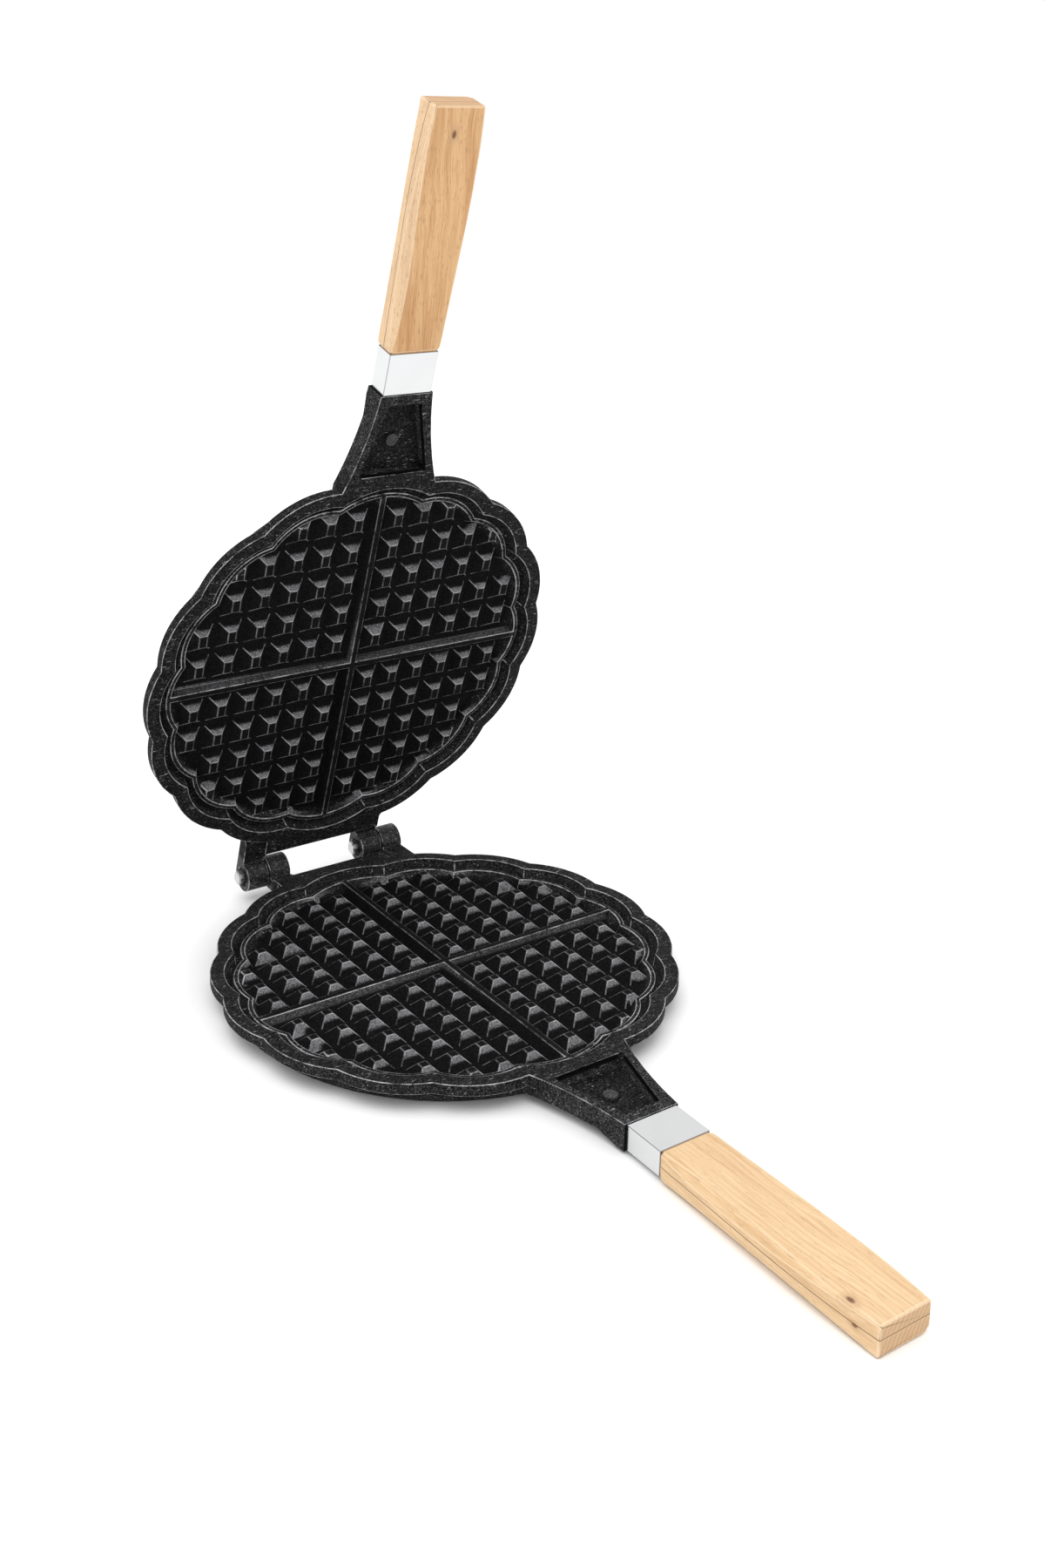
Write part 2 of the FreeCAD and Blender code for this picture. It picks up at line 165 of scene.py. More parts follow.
HANDLE_WOOD = {
    "lower": {
        "slant": 0.03, "pith": (38, -30), "fibre": 1.4, "figure": 0.8, "pores": 0.26,
        "knots": [(-9.9, -236.3, -0.5, 2.2), (-11.6, -240, -5.9, 1.5)],
    },
    "upper": {
        "slant": 0.14, "pith": (-30, 34), "fibre": 1.7, "figure": 2.1, "pores": 0.5,
        "knots": [(1.0, -238.4, -0.5, 2.2)],
    },
}
WANDER_REACH = 9
WANDER_TURN = 5
KNOT_LENGTH = 1.7
KNOT_PULL = 1.6
LINE_SHARPNESS = 1.6
LINE_SHARE = 0.18
LATE_SHARE = 0.22
# Painted light: share of the lighter colour on the upper handle's sides
LIT_SIDE_SHARE = 0.4
END_SHARE = 0.35
EDGE_SHARE = 0.25
KNOT_HALO_SHARE = 0.5
KNOT_SHARE = 0.9
SEAM_SHARE = 0.8
# Painted shadow on the wood beside the ferrule
FERRULE_SHADOW_SHARE = 0.75

# Marks of the metal and the floor, with painted shade along the ferrules' edges and round the pins' ends

SMEARED = 0.86
SMEAR_SHARE = 0.2
# Painted shade along the ferrules' rounded edges
METAL_EDGE_SHADE = 0.8
TURNING_RINGS = 14
NICK_SHARE = 0.6
# Painted shade round the rim of the pins' ends, in the nicks' dark colour
PIN_RIM_SHADE_SHARE = 0.75
PIN_MARK_AND_SHADE_COLOUR = (0.2, 0.2, 0.2)
FLOOR_SHADE = 0.94


# Settings

def colour(name, description, value):
    """A colour setting."""
    return FloatVectorProperty(name=name, description=description, default=value,
                               subtype="COLOR", size=3, min=0, max=1)


def length(name, description, value, highest=1.0):
    """A length setting in metres."""
    return FloatProperty(name=name, description=description, default=value,
                         unit="LENGTH", subtype="DISTANCE", min=0, max=highest, precision=5)


def angle(name, description, value):
    """An angle setting, whose default is given in degrees."""
    return FloatProperty(name=name, description=description, default=math.radians(value),
                         unit="ROTATION", subtype="ANGLE")


def share(name, description, value):
    """A setting between none and all."""
    return FloatProperty(name=name, description=description, default=value,
                         subtype="FACTOR", min=0, max=1)


def number(name, description, value):
    """A plain number setting."""
    return FloatProperty(name=name, description=description, default=value)


class CastingSettings(bpy.types.PropertyGroup):
    """Black cast plates."""
    skin: colour("Skin", "Colour of the black casting skin", (0.003, 0.003, 0.0033))
    # The lighter colour: the casting's grain, and all the painted light, glints and highlights
    grain_and_painted_light: colour("Speckle", "Colour of the lighter grains of the skin and of the painted light, glints and highlights on it", (0.19, 0.19, 0.197))
    worn: colour("Worn edge", "Colour of the rubbed metal on edges", (0.5, 0.5, 0.51))
    edge_round: length("Edge rounding", "Width taken off each sharp edge", 0.32 * MM)
    edge_angle: angle("Sharp edge", "Faces that meet at more than this are rounded", 28)
    shortest_edge: length("Shortest edge", "Shorter edges stay sharp", 0.5 * MM)
    grain: length("Grain", "Size of the casting grain", 0.7 * MM)
    grain_height: length("Grain height", "Height of the casting grain", 0.09 * MM)
    gloss: share("Roughness", "Roughness of the skin", 0.5)


class WoodSettings(bpy.types.PropertyGroup):
    """Pale wooden handles."""
    early: colour("Early wood", "Pale colour between the growth lines", (0.77, 0.555, 0.33))
    late: colour("Late wood", "Darker colour of the growth lines", (0.53, 0.30, 0.13))
    # Also the colour of the painted shadow beside the ferrule
    fleck: colour("Fleck", "Colour of the short pores, the seam and the painted shadow by the ferrule", (0.30, 0.155, 0.065))
    # Lighter colour of the rounded edges, also used as painted light on the upper handle's sides
    polished: colour("Pale edge and lit side", "Colour of the lighter rounded edges and of the painted light on the upper handle's sides", (0.86, 0.69, 0.48))
    end_grain: colour("End grain", "Colour of the sawn free end", (0.50, 0.31, 0.165))
    upper_tint: colour("Upper handle", "The redder wood of the upper handle, as a share", (0.89, 0.76, 0.63))
    knot: colour("Knot", "Colour at the middle of a small knot", (0.15, 0.055, 0.02))
    ring_pitch: length("Growth line pitch", "Distance between growth lines", 1.9 * MM)
    edge_round: length("Edge rounding", "Width taken off each edge", 0.3 * MM)
    edge_angle: angle("Sharp edge", "Faces that meet at more than this are rounded", 20)
    shortest_edge: length("Shortest edge", "Shorter edges stay sharp", 0.8 * MM)
    gloss: share("Roughness", "Roughness of the oiled wood", 0.5)


class MetalSettings(bpy.types.PropertyGroup):
    """Ferrules, pins and hidden tangs."""
    ferrule: colour("Ferrule", "Colour of the polished ferrules", (0.71, 0.715, 0.72))
    pin: colour("Pin", "Colour of the turned hinge pins", (0.66, 0.66, 0.67))
    tang: colour("Tang", "Colour of the hidden steel", (0.42, 0.42, 0.43))
    # Painted shade along the ferrules' rounded edges
    edge: colour("Edge", "Darker colour painted as shade along the ferrules' rounded edges", (0.26, 0.26, 0.27))
    edge_round: length("Edge rounding", "Width taken off the ferrules' edges", 0.25 * MM)
    edge_angle: angle("Sharp edge", "Faces that meet at more than this are rounded", 40)
    shortest_edge: length("Shortest edge", "Shorter edges stay sharp", 0.8 * MM)


class StudioSettings(bpy.types.PropertyGroup):
    """Camera, floor and light."""
    azimuth: angle("Azimuth", "Camera angle round the object", -33.55)
    elevation: angle("Elevation", "Camera angle above the horizon", 14.47)
    roll: angle("Roll", "Camera turned about its own axis", 0.56)
    distance: length("Distance", "Camera distance from the lower plate", 0.676, 10)
    side_step: number("Side step", "Camera moved to its right, in metres", 0.0104)
    rise: number("Rise", "Camera moved up, in metres", 0.1703)
    focal_pixels: number("Focal length", "Focal length in pixels of the photograph", 1881.5)
    axis_column: number("Axis column", "Photograph column that the lens points at", 540)
    axis_row: number("Axis row", "Photograph row that the lens points at", 620)
    floor: colour("Floor", "Colour of the floor", (0.94, 0.94, 0.94))
    sky: number("Surrounding light", "Strength of the even white light", 1.03)
    key: number("Key light", "Strength of the wide light above", 1.2)
    key_spread: angle("Key spread", "Angle that the wide light fills in the sky", 60)


# Shader expressions

class Wire:
    """A node socket that takes part in Python sums; every sum adds a Math node."""

    def __init__(self, finish, socket):
        self.finish = finish
        self.socket = socket

    def math(self, operation, *values):
        return self.finish.math(operation, *values)

    def __add__(self, other):
        return self.math("ADD", self, other)

    __radd__ = __add__

    def __sub__(self, other):
        return self.math("SUBTRACT", self, other)

    def __rsub__(self, other):
        return self.math("SUBTRACT", other, self)

    def __mul__(self, other):
        return self.math("MULTIPLY", self, other)

    __rmul__ = __mul__

    def __truediv__(self, other):
        return self.math("DIVIDE", self, other)

    def __rtruediv__(self, other):
        return self.math("DIVIDE", other, self)

    def __pow__(self, other):
        return self.math("POWER", self, other)

    def __rpow__(self, other):
        return self.math("POWER", other, self)

    def __abs__(self):
        return self.math("ABSOLUTE", self)

    def sine(self):
        return self.math("SINE", self)

    def root(self):
        return self.math("SQRT", self)

    def exp(self):
        return self.math("EXPONENT", self)

    def at_least(self, other):
        return self.math("MAXIMUM", self, other)

    def at_most(self, other):
        return self.math("MINIMUM", self, other)

    def step(self, low, high):
        """0 below low, 1 above high, and smooth between them."""
        node = self.finish.node("ShaderNodeMapRange", {"interpolation_type": "SMOOTHSTEP"},
                                {"Value": self, "From Min": low, "From Max": high})
        return Wire(self.finish, node.outputs["Result"])

    def fade(self, low, high):
        """1 below low, 0 above high, and smooth between them."""
        return 1 - self.step(low, high)

    def near(self, middle, width):
        """1 close to the middle; the width is the pair of distances where it starts and ends to fade."""
        return abs(self - middle).fade(*width)


class Finish:
    """One procedural material on a Principled shader."""

    def __init__(self, name):
        self.material = bpy.data.materials.new(name)
        self.material.use_nodes = True
        self.tree = self.material.node_tree
        self.tree.nodes.clear()
        self.shader = self.node("ShaderNodeBsdfPrincipled")
        self.node("ShaderNodeOutputMaterial", None, {"Surface": self.shader.outputs["BSDF"]})

    def node(self, kind, settings=None, inputs=None):
        """Adds a node: its settings first, then the values or links of its sockets."""
        made = self.tree.nodes.new(kind)
        for key, value in (settings or {}).items():
            setattr(made, key, value)
        for key, value in (inputs or {}).items():
            self.feed(made.inputs[key], value)
        return made

    def feed(self, socket, value):
        """Links a socket to a wire or another socket, or sets its value."""
        if isinstance(value, Wire):
            value = value.socket
        if isinstance(value, bpy.types.NodeSocket):
            self.tree.links.new(value, socket)
        elif socket.type == "RGBA":
            socket.default_value = (*value, 1)
        else:
            socket.default_value = value

    def math(self, operation, *values):
        node = self.node("ShaderNodeMath", {"operation": operation}, dict(enumerate(values)))
        return Wire(self, node.outputs[0])

    def mix(self, factor, low, high, blend="MIX"):
        """Colour low where factor is 0, high where it is 1."""
        node = self.node("ShaderNodeMix", {"data_type": "RGBA", "blend_type": blend},
                         {"Factor": factor, 6: low, 7: high})
        return Wire(self, node.outputs[2])

    def casting_place(self, side):
        """Place in the casting's own frame, in millimetres, the same on both castings."""
        place = self.node("ShaderNodeTexCoord").outputs["Object"]
        turn, shift = casting_frame(side)
        node = self.node("ShaderNodeMapping", {"vector_type": "POINT"},
                         {"Vector": place, "Location": shift, "Rotation": turn, "Scale": (PER_MM,) * 3})
        return Wire(self, node.outputs["Vector"])

    def casting_normal(self, side):
        """Direction of the surface in the casting's own frame."""
        normal = self.node("ShaderNodeTexCoord").outputs["Normal"]
        turn, _ = casting_frame(side)
        node = self.node("ShaderNodeMapping", {"vector_type": "POINT"},
                         {"Vector": normal, "Rotation": turn})
        return Wire(self, node.outputs["Vector"])

    def split(self, vector):
        node = self.node("ShaderNodeSeparateXYZ", None, {"Vector": vector})
        return [Wire(self, node.outputs[i]) for i in range(3)]

    def join(self, x, y, z):
        node = self.node("ShaderNodeCombineXYZ", None, {"X": x, "Y": y, "Z": z})
        return Wire(self, node.outputs[0])

    def noise(self, place, size, detail=2.0, roughness=0.5, stretch=(1, 1, 1), shift=(0, 0, 0)):
        """Noise whose blobs are about size millimetres, longer along the stretched axes."""
        scale = tuple(1 / (size * along) for along in stretch)
        moved = self.node("ShaderNodeMapping", {"vector_type": "POINT"},
                          {"Vector": place, "Location": shift, "Scale": scale})
        node = self.node("ShaderNodeTexNoise", {"noise_dimensions": "3D"},
                         {"Vector": moved.outputs["Vector"], "Scale": 1.0,
                          "Detail": detail, "Roughness": roughness})
        return Wire(self, node.outputs["Fac"])

    def attribute(self, name):
        node = self.node("ShaderNodeAttribute", {"attribute_type": "GEOMETRY", "attribute_name": name})
        return Wire(self, node.outputs["Fac"])

    def bump(self, height, distance, strength):
        node = self.node("ShaderNodeBump", None,
                         {"Height": height, "Distance": distance, "Strength": strength})
        return Wire(self, node.outputs["Normal"])

    def set(self, **values):
        """Values or links of the shader's own sockets, with _ for a space."""
        for key, value in values.items():
            self.feed(self.shader.inputs[key.replace("_", " ")], value)
        return self.material


def casting_frame(side):
    """Turn and shift in millimetres from the part's frame to the frame that both castings share."""
    hinge = Vector(HINGE["pos_m"]) * PER_MM
    if side == "lower":
        return (0, 0, 0), (0, 0, -hinge.z)
    swing = Matrix.Rotation(math.radians(-HINGE["range_deg"][0]), 3, "X")
    over = Matrix.Rotation(math.pi, 3, "Y")
    turn = over @ swing
    shift = over @ (Vector((0, hinge.y, 0)) - swing @ hinge)
    return tuple(turn.to_euler()), tuple(shift)


# Shapes

def rounded_copy(node, name, look):
    """A new object with the node's shape, its outer edges rounded and those strips marked as an attribute."""
    bm = bmesh.new()
    bm.from_mesh(frame["nodes"][node].data)
    edge_strip = bm.faces.layers.float.new(EDGE_STRIP_NAME)
    bmesh.ops.remove_doubles(bm, verts=bm.verts, dist=WELD_DISTANCE)
    bmesh.ops.dissolve_limit(bm, angle_limit=FLAT_ANGLE, verts=bm.verts, edges=bm.edges)
    bmesh.ops.dissolve_degenerate(bm, edges=bm.edges, dist=SMALLEST_EDGE)
    bm.normal_update()
    sharp = [edge for edge in bm.edges
             if edge.is_manifold and edge.is_convex
             and edge.calc_face_angle(0) > look.edge_angle and edge.calc_length() > look.shortest_edge]
    made = bmesh.ops.bevel(bm, geom=sharp, offset=look.edge_round, offset_type="OFFSET", segments=2,
                           profile=0.5, affect="EDGES", clamp_overlap=False, loop_slide=True)
    for face in made["faces"]:
        face[edge_strip] = 1
    mesh = bpy.data.meshes.new(name)
    bm.to_mesh(mesh)
    bm.free()
    mesh.shade_smooth()
    piece = bpy.data.objects.new(name, mesh)
    bpy.context.scene.collection.objects.link(piece)
    weighted = piece.modifiers.new("even_normals", "WEIGHTED_NORMAL")
    weighted.weight = FACE_WEIGHT
    return piece


def stand_for(piece, node, side, material):
    """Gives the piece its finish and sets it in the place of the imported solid."""
    piece.data.materials.clear()
    piece.data.materials.append(material)
    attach(piece, BODIES[side])
    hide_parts(node)


def paint_node(node, material):
    """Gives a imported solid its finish."""
    slots = frame["nodes"][node].material_slots
    for slot in slots:
        slot.link = "OBJECT"
        slot.material = material
    if not slots:
        frame["nodes"][node].data.materials.append(material)


# Finishes

def cast_skin(side):
    """Black casting: fine grain, rubbed edges, scuffs on the outside and darker hollows."""
    look = bpy.context.scene.waffle_casting
    skin = Finish("cast_black_" + side)
    place = skin.casting_place(side)
    x, y, z = skin.split(place)
    facing = skin.split(skin.casting_normal(side))
    grain = look.grain * PER_MM
    coarse = skin.noise(place, grain, roughness=0.7)
    fine = skin.noise(place, grain * 0.45, roughness=0.6, shift=(7, 3, 1))
    cloud = skin.noise(place, size=16, shift=(2, 9, 4))
    patch = skin.noise(place, size=4.5, detail=3, roughness=0.6, shift=(5, 1, 8))
    scratch = skin.noise(place, size=1.3, roughness=0.6, stretch=(2.2, 0.5, 0.5), shift=(1, 6, 3))
    rubbed = skin.attribute(EDGE_STRIP_NAME)

    # Where the surface lies and which way it faces
    outward = y * -1
    waffle = (x * x + y * y).root().fade(*WAFFLE_EDGE) * z.step(*WAFFLE_DEPTH)
    outside = 1 - waffle
    neck = outward.step(*NECK_START)
    knuckle = y.step(*KNUCKLE_START)
    level = abs(facing[2])
    upright = level.fade(*SLOPING)
    handleward = (facing[1] * -1).step(*SLOPING)
    inward = (x * facing[0] * -1).step(*POCKET_SLANT).at_least(abs(x).fade(*POCKET_MIDDLE))
    crossing = abs(facing[1]).step(*CROSSWISE) * abs(x).fade(*POCKET_SIDE)
    in_pocket = outward.step(*POCKET_START)
    # Walls and floor of the pocket, which are painted darker as shade
    shaded_pocket_wall = upright * inward.at_least(crossing) * in_pocket * outward.fade(*POCKET_END)
    shaded_pocket_floor = level * z.near(POCKET_FLOOR, POCKET_FLOOR_WIDTH) * in_pocket
    # Level top of the boss, which is painted lighter
    lit_boss_top = level * z.near(BOSS_TOP, BOSS_TOP_WIDTH) * outward.step(*BOSS_START) * abs(x).fade(*BOSS_SIDE)
    # Depth in the stud field, where the painted light on the slopes fades as painted shade
    low = (z * -1).step(*STUD_SLOPE)
    rib = abs(x).at_most(abs(y)).fade(*RIB_SIDE)

    # Grey grains, partly painted glints; painted light on the slopes that face the handle, painted shade in
    # the pocket and on level faces, painted light on the boss top and a painted highlight at the stud feet
    # Light grains: partly the casting's own grain, partly painted glints of its rough skin
    speckles = (coarse * 0.5 + fine * 0.5).step(*SPECKLES_SHOW)
    # Painted light: the stud slopes that face the handle are painted lighter, less so deeper down and on the
    # ribs
    lit = waffle * handleward * (LIT_TOP - low * LIT_LOSS[side]) * (1 - rib * RIB_LOSS)
    # Painted glints: sparse bright grains outside the stud field, added to the colour below
    glints = coarse.step(*GLINTS_SHOW) * outside
    # Plain grey outside the stud field, with painted shade on level faces and on the upper casting
    plain = outside * (PLAIN + neck * PLAIN_NECK + knuckle * PLAIN_KNUCKLE - level * LEVEL_FACE_SHADE)
    if side == "upper":
        plain = plain * PLAIN_UPPER_SHADED
    amount = speckles * (GREY_LEAST + lit * LIT_GRAINS + plain) + lit * LIT_EVEN
    amount = amount + glints * (GLINT + knuckle * GLINT_KNUCKLE)
    # Painted shade: the pocket's walls are painted almost black and its floor darker
    amount = amount * (0.5 + patch) * (1 - shaded_pocket_wall * POCKET_WALL_SHADE)
    # Painted light: the boss top is painted lighter
    amount = amount * (1 - shaded_pocket_floor * POCKET_FLOOR_SHADE) + lit_boss_top * BOSS_TOP_LIGHT
    # Painted highlight: a thin light line along the feet of the slopes that face the handle
    painted_foot_highlight = waffle * handleward * z.near(STUD_FOOT, STUD_FOOT_WIDTH) * fine.step(*FOOT_HIGHLIGHT_SHOWS)
    # The lighter colour mixed in here carries the grains and all the painted light and highlights
    tone = skin.mix((amount + painted_foot_highlight * FOOT_HIGHLIGHT).at_most(1), tuple(look.skin), tuple(look.grain_and_painted_light))

    # Bare metal on rubbed edges and in scuffs; edge lines on stud slopes turned from the handle are painted
    # weaker, as painted shade
    scuffs = scratch.step(*SCRATCHES_SHOW) * patch.step(*SCUFFED_PATCHES) * outside * SCUFF
    broken = (patch * 0.6 + fine * 0.7).step(*RUBBED_PARTS)
    # Painted shade: on the stud field, edge lines turned from the handle are painted weaker
    line = rubbed * broken * level.step(*RAISED) * (1 - waffle * (1 - handleward) * SHADED_EDGE_LOSS)
    # No rubbed edge lines on the pocket walls, which are painted dark as shade
    bare = (line * (1 - neck * NECK_EDGE_LOSS)).at_least(scuffs) * (1 - shaded_pocket_wall)
    tone = skin.mix(bare, tone, tuple(look.worn))
    roughness = look.gloss + cloud * 0.12 + speckles * 0.12 + waffle * low * 0.25
    roughness = roughness - bare * 0.08 - knuckle * 0.2
    height = coarse * 0.6 + fine * 0.4
    return skin.set(Base_Color=tone, Roughness=roughness, Metallic=bare * 0.5, Specular_IOR_Level=0.03,
                    Coat_Weight=knuckle * 0.3, Coat_Roughness=0.3,
                    Normal=skin.bump(height, look.grain_height, strength=0.8))


def beech(side):
    """Pale hardwood with growth lines along the handle, short pores, small knots and darker end grain."""
    look = bpy.context.scene.waffle_wood
    growth = HANDLE_WOOD[side]
    wood = Finish("beech_" + side)
    place = wood.casting_place(side)
    x, y, z = wood.split(place)
    facing = wood.split(wood.casting_normal(side))

    # Growth lines bend round the knots
    wander = wood.noise(place, size=26, stretch=(1, 2.4, 1))
    slanted = x + y * growth["slant"]
    across = slanted + (wander - 0.5) * WANDER_REACH
    spots = []
    for knot_x, knot_y, knot_z, radius in growth["knots"]:
        off_x = x - knot_x
        off_y = (y - knot_y) / KNOT_LENGTH
        off_z = z - knot_z
        spots.append(((off_x * off_x + off_y * off_y + off_z * off_z) * (-1 / (radius * radius))).exp())
        across = across + off_x * spots[-1] * KNOT_PULL
    knot = functools.reduce(Wire.at_least, spots)
    pith_x, pith_z = growth["pith"]
    from_pith_x = across - pith_x
    from_pith_z = z - pith_z
    reach = (from_pith_x * from_pith_x + from_pith_z * from_pith_z).root()
    pitch = look.ring_pitch * PER_MM
    wave = (reach * (2 * math.pi / pitch) + wander * WANDER_TURN).sine() * 0.5 + 0.5

    # Early and late wood, fibres and pores
    grain_place = wood.join(across, y, z)
    fibre = wood.noise(grain_place, size=0.4, roughness=0.6, stretch=(1, 45, 1), shift=(3, 1, 2))
    broad = wood.noise(grain_place, size=4.5, stretch=(1, 14, 1), shift=(5, 2, 6))
    pore_place = wood.join(slanted, y, z)
    pores = wood.noise(pore_place, size=0.42, detail=1, stretch=(1, 9, 1), shift=(9, 4, 5))
    pores = pores.step(*PORES_SHOW)
    lines = wave ** LINE_SHARPNESS * LINE_SHARE + (fibre - 0.5) * growth["fibre"]
    lines = lines + (broad - 0.5) * growth["figure"] + LATE_SHARE
    tone = wood.mix(lines, tuple(look.early), tuple(look.late))
    if side == "upper":
        tone = wood.mix(1.0, tone, tuple(look.upper_tint), "MULTIPLY")
        # Painted light: the upper handle's sides are painted lighter
        tone = wood.mix(abs(facing[0]).step(*SLOPING) * LIT_SIDE_SHARE, tone, tuple(look.polished))
    tone = wood.mix(pores * growth["pores"], tone, tuple(look.fleck))

    # Sawn end, lighter rounded edges, knots, seam and the painted shadow beside the ferrule
    end = abs(facing[1]).step(*SQUARE_ON)
    dots = wood.noise(place, size=0.5, roughness=0.6, shift=(4, 8, 1))
    tone = wood.mix(end * (END_SHARE + dots * 0.4 + wave * 0.4), tone, tuple(look.end_grain))
    # Lighter along the rounded edges
    tone = wood.mix(wood.attribute(EDGE_STRIP_NAME) * (EDGE_SHARE + broad * 0.3), tone, tuple(look.polished))
    tone = wood.mix(knot.step(*KNOT_HALO) * KNOT_HALO_SHARE, tone, tuple(look.end_grain))
    tone = wood.mix(knot.step(*KNOT_MIDDLE) * KNOT_SHARE, tone, tuple(look.knot))
    seam = z.near(HANDLE_SEAM, HANDLE_SEAM_WIDTH)
    # Painted shadow: the wood darkens where it meets the ferrule
    sleeve_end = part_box("lower_ferrule")[0][1] * PER_MM
    ferrule_shadow = (y - sleeve_end).step(*FERRULE_SHADOW_START)
    tone = wood.mix((seam * SEAM_SHARE).at_least(ferrule_shadow * FERRULE_SHADOW_SHARE), tone, tuple(look.fleck))
    height = fibre * 0.5 - pores * 0.6 + dots * end * 0.5
    return wood.set(Base_Color=tone, Roughness=look.gloss + fibre * 0.12, Specular_IOR_Level=0.4,
                    Normal=wood.bump(height, 0.05 * MM, strength=0.7))


def polished_metal(name, side, tint, edge, roughness, stretch):
    """Bright metal with faint rubbing marks and painted shade along its rounded edges."""
    metal = Finish(name)
    place = metal.casting_place(side)
    rub = metal.noise(place, size=0.25, roughness=0.6, stretch=stretch)
    smear = metal.noise(place, size=9)
    dull = tuple(SMEARED * part for part in tint)
    tone = metal.mix(smear.step(*SMEARS_SHOW) * SMEAR_SHARE, tint, dull)
    # Painted shade: the rounded edges are painted darker
    tone = metal.mix(metal.attribute(EDGE_STRIP_NAME) * METAL_EDGE_SHADE, tone, edge)
    return metal.set(Base_Color=tone, Metallic=1.0, Roughness=roughness + rub * 0.06 + smear * 0.05,
                     Normal=metal.bump(rub, 0.006 * MM, strength=0.5))


def turned_steel(name, tint):
    """Pin steel with the fine rings that turning leaves on its ends, small nicks, and painted shade round the
    rim of each end.
    """
    metal = Finish(name)
    place = metal.casting_place("lower")
    _, y, z = metal.split(place)
    away_y = y - HINGE["pos_m"][1] * PER_MM
    away = (away_y * away_y + z * z).root()
    rings = (away * TURNING_RINGS).sine() * 0.5 + 0.5
    marks = metal.noise(place, size=0.3, roughness=0.6)
    nicks = metal.noise(place, size=0.9, roughness=0.6, shift=(3, 2, 1)).step(*NICKS_SHOW)
    # Nicks and marks, and painted shade round the rim of each end
    dull = (nicks * NICK_SHARE + marks * 0.1).at_least(away.step(*PIN_RIM) * PIN_RIM_SHADE_SHARE)
    tone = metal.mix(dull, tint, PIN_MARK_AND_SHADE_COLOUR)
    return metal.set(Base_Color=tone, Metallic=1.0, Roughness=0.26 + marks * 0.1,
                     Normal=metal.bump(rings * 0.6 + marks * 0.4, 0.012 * MM, strength=0.6))


def pale_floor():
    """Plain white floor with the faintest unevenness."""
    look = bpy.context.scene.waffle_studio
    floor = Finish("pale_floor")
    place = Wire(floor, floor.node("ShaderNodeTexCoord").outputs["Object"])
    cloud = floor.noise(place, size=0.4)
    shade = tuple(FLOOR_SHADE * part for part in look.floor)
    tone = floor.mix(cloud * 0.05, tuple(look.floor), shade)
    return floor.set(Base_Color=tone, Roughness=0.6 + cloud * 0.05, Specular_IOR_Level=0.2)


# Steps

class StageOperator(bpy.types.Operator):
    """Sets the floor, the lights and the camera"""
    bl_idname = "waffle.stage"
    bl_label = "Floor, light and camera"

    def execute(self, context):
        look = context.scene.waffle_studio
        self.add_floor(context)
        self.add_lights(context, look)
        self.add_camera(context, look)
        return {"FINISHED"}

    def add_floor(self, context):
        bm = bmesh.new()
        bmesh.ops.create_grid(bm, x_segments=8, y_segments=8, size=FLOOR_REACH)
        mesh = bpy.data.meshes.new("floor")
        bm.to_mesh(mesh)
        bm.free()
        floor = bpy.data.objects.new("floor", mesh)
        floor.location.z = -FLOOR_DROP
        context.scene.collection.objects.link(floor)
        mesh.materials.append(pale_floor())

    def add_lights(self, context, look):
        world = bpy.data.worlds.new("studio")
        world.use_nodes = True
        background = world.node_tree.nodes["Background"]
        background.inputs["Color"].default_value = (1, 1, 1, 1)
        background.inputs["Strength"].default_value = look.sky
        context.scene.world = world
        data = bpy.data.lights.new("key", "SUN")
        data.energy = look.key
        data.angle = look.key_spread
        light = bpy.data.objects.new("key", data)
        light.rotation_euler = Vector(KEY_DIRECTION).to_track_quat("-Z", "Y").to_euler()
        context.scene.collection.objects.link(light)

    def add_camera(self, context, look):
        data = bpy.data.cameras.new("camera")
        data.sensor_fit = "VERTICAL"
        data.sensor_height = 36
        data.lens = look.focal_pixels * data.sensor_height / PHOTO_HEIGHT
        data.shift_x = (PHOTO_WIDTH / 2 - look.axis_column) / PHOTO_HEIGHT
        data.shift_y = (look.axis_row - PHOTO_HEIGHT / 2) / PHOTO_HEIGHT
        data.clip_start = 0.01
        data.clip_end = 50
        turn, rise = look.azimuth, look.elevation
        back = Vector((math.sin(turn) * math.cos(rise), -math.cos(turn) * math.cos(rise), math.sin(rise)))
        right = Vector((math.cos(turn), math.sin(turn), 0))
        up = back.cross(right)
        lean = math.cos(look.roll), math.sin(look.roll)
        tilted_right = right * lean[0] + up * lean[1]
        tilted_up = up * lean[0] - right * lean[1]
        aim = Vector((0, 0, HINGE["pos_m"][2]))
        camera = bpy.data.objects.new("camera", data)
        place = aim + back * look.distance + tilted_right * look.side_step + tilted_up * look.rise
        basis = Matrix((tilted_right, tilted_up, back)).transposed()
        camera.matrix_world = Matrix.Translation(place) @ basis.to_4x4()
        context.scene.collection.objects.link(camera)
        context.scene.camera = camera
        context.scene.view_settings.view_transform = "Standard"


class CastPlatesOperator(bpy.types.Operator):
    """Rounds the edges of the two black castings and gives them their skin"""
    bl_idname = "waffle.cast_plates"
    bl_label = "Cast plates"

    def execute(self, context):
        for side in BODIES:
            node = side + "_plate"
            piece = rounded_copy(node, side + "_casting", context.scene.waffle_casting)
            stand_for(piece, node, side, cast_skin(side))
        return {"FINISHED"}


class WoodenHandlesOperator(bpy.types.Operator):
    """Softens the edges of the wooden halves and gives them their grain"""
    bl_idname = "waffle.wooden_handles"
    bl_label = "Wooden handles"

    def execute(self, context):
        for side in BODIES:
            finish = beech(side)
            for half in ("inner", "outer"):
                node = side + "_handle_" + half + "_half"
                piece = rounded_copy(node, side + "_wood_" + half, context.scene.waffle_wood)
                stand_for(piece, node, side, finish)
        return {"FINISHED"}


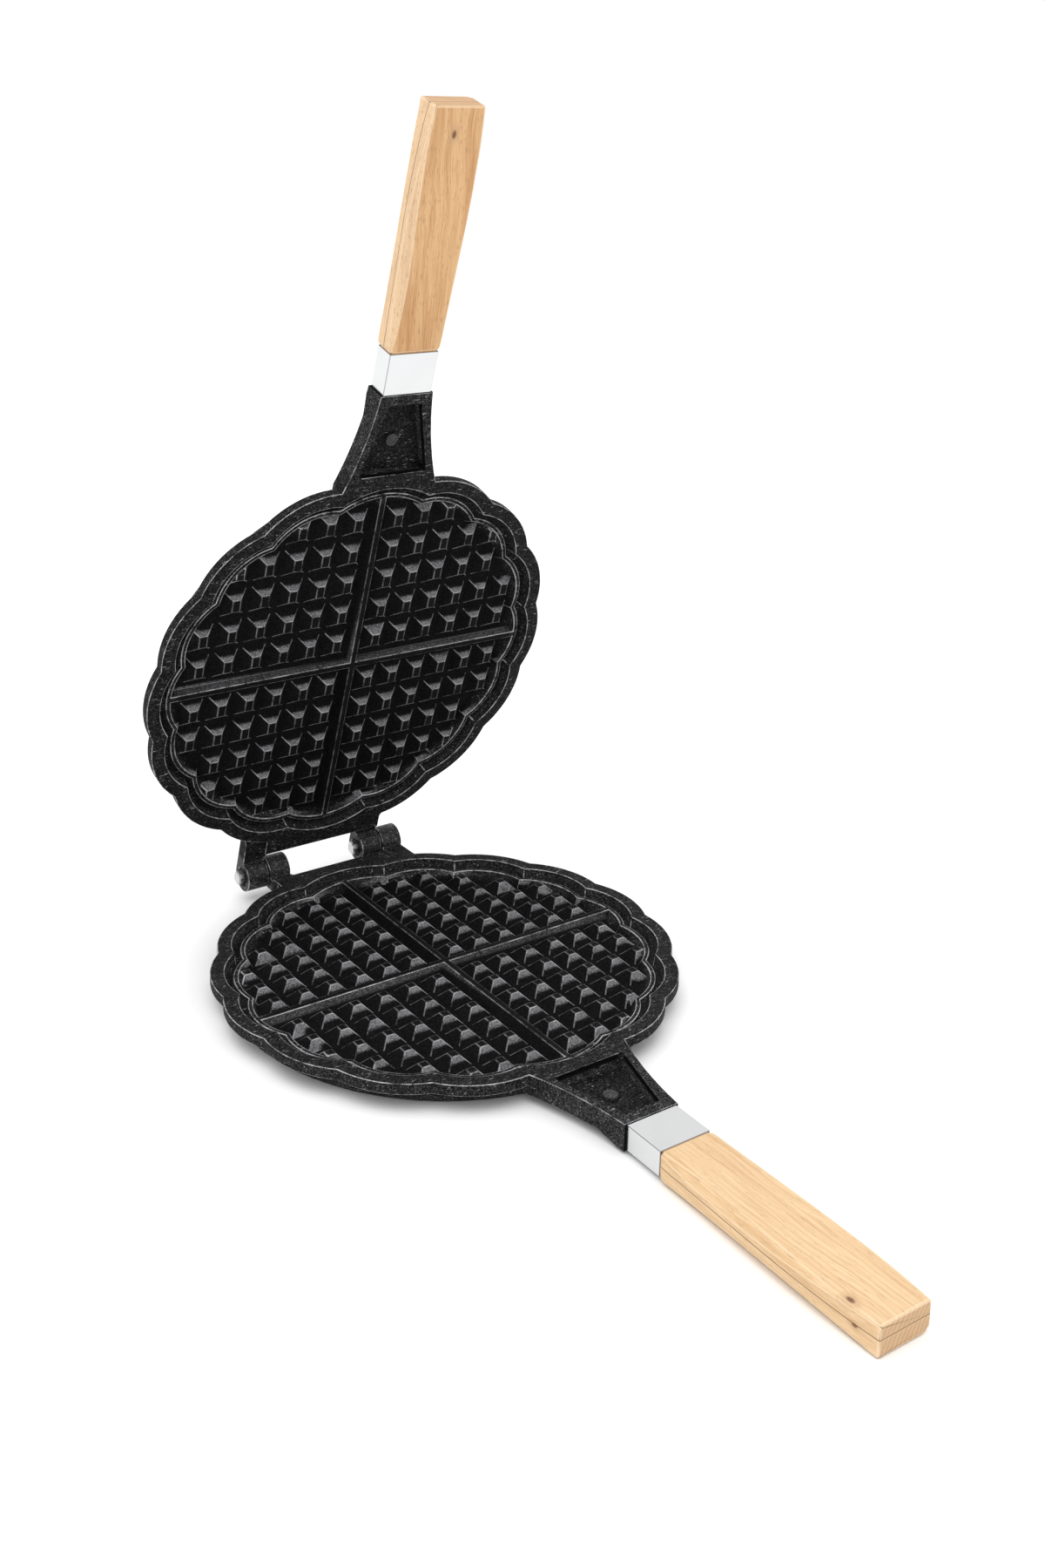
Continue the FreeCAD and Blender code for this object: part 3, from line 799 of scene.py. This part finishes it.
class FerrulesOperator(bpy.types.Operator):
    """Polishes the two metal sleeves"""
    bl_idname = "waffle.ferrules"
    bl_label = "Ferrules"

    def execute(self, context):
        look = context.scene.waffle_metal
        for side in BODIES:
            node = side + "_ferrule"
            finish = polished_metal("ferrule_metal_" + side, side, tuple(look.ferrule), tuple(look.edge),
                                    roughness=0.16, stretch=(14, 1, 14))
            piece = rounded_copy(node, side + "_sleeve", look)
            stand_for(piece, node, side, finish)
        return {"FINISHED"}


class HingePinsOperator(bpy.types.Operator):
    """Gives the two hinge pins their turned steel"""
    bl_idname = "waffle.hinge_pins"
    bl_label = "Hinge pins"

    def execute(self, context):
        finish = turned_steel("pin_steel", tuple(context.scene.waffle_metal.pin))
        for side in ("left", "right"):
            paint_node(side + "_hinge_pin", finish)
        return {"FINISHED"}


class TangsOperator(bpy.types.Operator):
    """Gives the hidden tangs and dowels their plain steel"""
    bl_idname = "waffle.tangs"
    bl_label = "Tangs and dowels"

    def execute(self, context):
        look = context.scene.waffle_metal
        for side in BODIES:
            finish = polished_metal("tang_steel_" + side, side, tuple(look.tang), tuple(look.edge),
                                    roughness=0.35, stretch=(1, 20, 1))
            paint_node(side + "_tang", finish)
            paint_node(side + "_tang_dowels", finish)
        return {"FINISHED"}


STEPS = (
    StageOperator,
    CastPlatesOperator,
    WoodenHandlesOperator,
    FerrulesOperator,
    HingePinsOperator,
    TangsOperator,
)

SETTINGS = {
    "waffle_casting": CastingSettings,
    "waffle_wood": WoodSettings,
    "waffle_metal": MetalSettings,
    "waffle_studio": StudioSettings,
}


class WafflePanel(bpy.types.Panel):
    """Lists the steps and their settings"""
    bl_idname = "VIEW3D_PT_waffle_iron"
    bl_label = "Waffle iron"
    bl_space_type = "VIEW_3D"
    bl_region_type = "UI"
    bl_category = "Waffle iron"

    def draw(self, context):
        for step in STEPS:
            self.layout.operator(step.bl_idname)
        for name in SETTINGS:
            group = getattr(context.scene, name)
            for key in group.__annotations__:
                self.layout.prop(group, key)


def register():
    for name, group in SETTINGS.items():
        bpy.utils.register_class(group)
        setattr(bpy.types.Scene, name, PointerProperty(type=group))
    for step in STEPS:
        bpy.utils.register_class(step)
    bpy.utils.register_class(WafflePanel)


def unregister():
    bpy.utils.unregister_class(WafflePanel)
    for step in reversed(STEPS):
        bpy.utils.unregister_class(step)
    for name, group in SETTINGS.items():
        delattr(bpy.types.Scene, name)
        bpy.utils.unregister_class(group)


def main():
    register()
    for step in STEPS:
        group, name = step.bl_idname.split(".")
        getattr(getattr(bpy.ops, group), name)()


if __name__ == "__main__":
    main()
